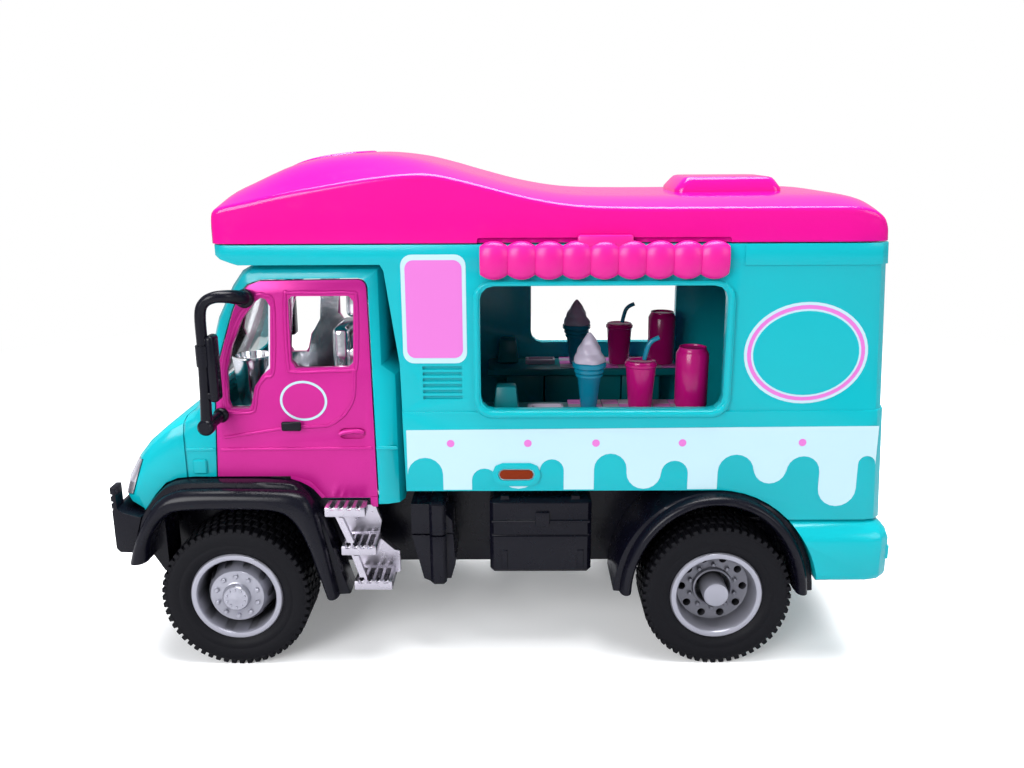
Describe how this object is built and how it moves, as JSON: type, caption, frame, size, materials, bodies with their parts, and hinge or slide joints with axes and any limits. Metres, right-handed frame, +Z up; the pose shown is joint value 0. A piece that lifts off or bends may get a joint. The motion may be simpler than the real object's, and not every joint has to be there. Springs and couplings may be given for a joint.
{
  "type": "toy ice cream truck",
  "caption": "Toy off-road ice cream truck with opening cab doors, serving windows on both sides, scalloped awnings, a domed roof and free-rolling wheels.",
  "frame": {"origin": "on the ground under the middle of the toy's bounding box", "axes": "+X towards the rear bumper, +Y towards the right-hand door, +Z up"},
  "size_m": [0.165, 0.0714, 0.1091],
  "materials": {
    "teal_plastic": "gloss moulded plastic",
    "pink_plastic": "gloss moulded plastic",
    "awning_pink": "satin moulded plastic",
    "door_magenta": "metallic paint on die-cast metal",
    "black_plastic": "satin moulded plastic",
    "tyre_rubber": "soft black rubber",
    "silver_plastic": "silver-coloured plastic",
    "axle_steel": "plain steel pin",
    "chrome_plating": "vacuum-plated plastic",
    "clear_plastic": "clear moulded plastic",
    "lamp_clear": "pale moulded lens",
    "marker_amber": "painted orange",
    "treat_cyan": "coloured moulded plastic",
    "treat_cream": "off-white moulded plastic",
    "treat_magenta": "coloured moulded plastic"
  },
  "bodies": {
    "root": {"chassis": "black_plastic", "fender_front_left": "black_plastic", "fender_front_right": "black_plastic", "mudguard_rear_left": "black_plastic", "mudguard_rear_right": "black_plastic", "cab_shell": "teal_plastic", "windscreen": "clear_plastic", "grille": "black_plastic", "headlamp_left": "lamp_clear", "headlamp_right": "lamp_clear", "front_bumper": "black_plastic", "cab_interior": "chrome_plating", "steering_wheel": "chrome_plating", "box_body": "teal_plastic", "roof": "pink_plastic", "awning_left": "awning_pink", "awning_right": "awning_pink", "counter_left": "treat_cream", "counter_right": "treat_cream", "steps_left": "silver_plastic", "steps_right": "silver_plastic", "tank_left": "black_plastic", "tank_right": "black_plastic", "toolbox_left": "black_plastic", "toolbox_right": "black_plastic", "rear_bumper": "teal_plastic", "marker_lamp_left": "marker_amber", "marker_lamp_right": "marker_amber", "cone_left": "treat_cyan", "swirl_left": "treat_cream", "cup_left": "treat_magenta", "can_left": "treat_magenta", "straw_left": "treat_cyan", "cone_right": "treat_cyan", "swirl_right": "treat_cream", "cup_right": "treat_magenta", "can_right": "treat_magenta", "straw_right": "treat_cyan"},
    "front_wheels": {"axle_front": "axle_steel", "rim_front_left": "silver_plastic", "tyre_front_left": "tyre_rubber", "rim_front_right": "silver_plastic", "tyre_front_right": "tyre_rubber"},
    "rear_wheels": {"axle_rear": "axle_steel", "rim_rear_left": "silver_plastic", "tyre_rear_left": "tyre_rubber", "rim_rear_right": "silver_plastic", "tyre_rear_right": "tyre_rubber"},
    "cab_door_left": {"door_left": "door_magenta", "door_latch_left": "black_plastic", "mirror_left": "black_plastic"},
    "cab_door_right": {"door_right": "door_magenta", "door_latch_right": "black_plastic", "mirror_right": "black_plastic"}
  },
  "joints": [
    {"name": "front_wheels_roll", "type": "hinge", "parent": "root", "child": "front_wheels", "pos_m": [-0.0573, 0, 0.016], "axis": [0, 1, 0], "continuous": true},
    {"name": "rear_wheels_roll", "type": "hinge", "parent": "root", "child": "rear_wheels", "pos_m": [0.0464, 0, 0.016], "axis": [0, 1, 0], "continuous": true},
    {"name": "left_door_swing", "type": "hinge", "parent": "root", "child": "cab_door_left", "pos_m": [-0.06, -0.028, 0.06], "axis": [0, 0, -1], "range_deg": [0, 50]},
    {"name": "right_door_swing", "type": "hinge", "parent": "root", "child": "cab_door_right", "pos_m": [-0.06, 0.028, 0.06], "axis": [0, 0, 1], "range_deg": [0, 50]}
  ]
}
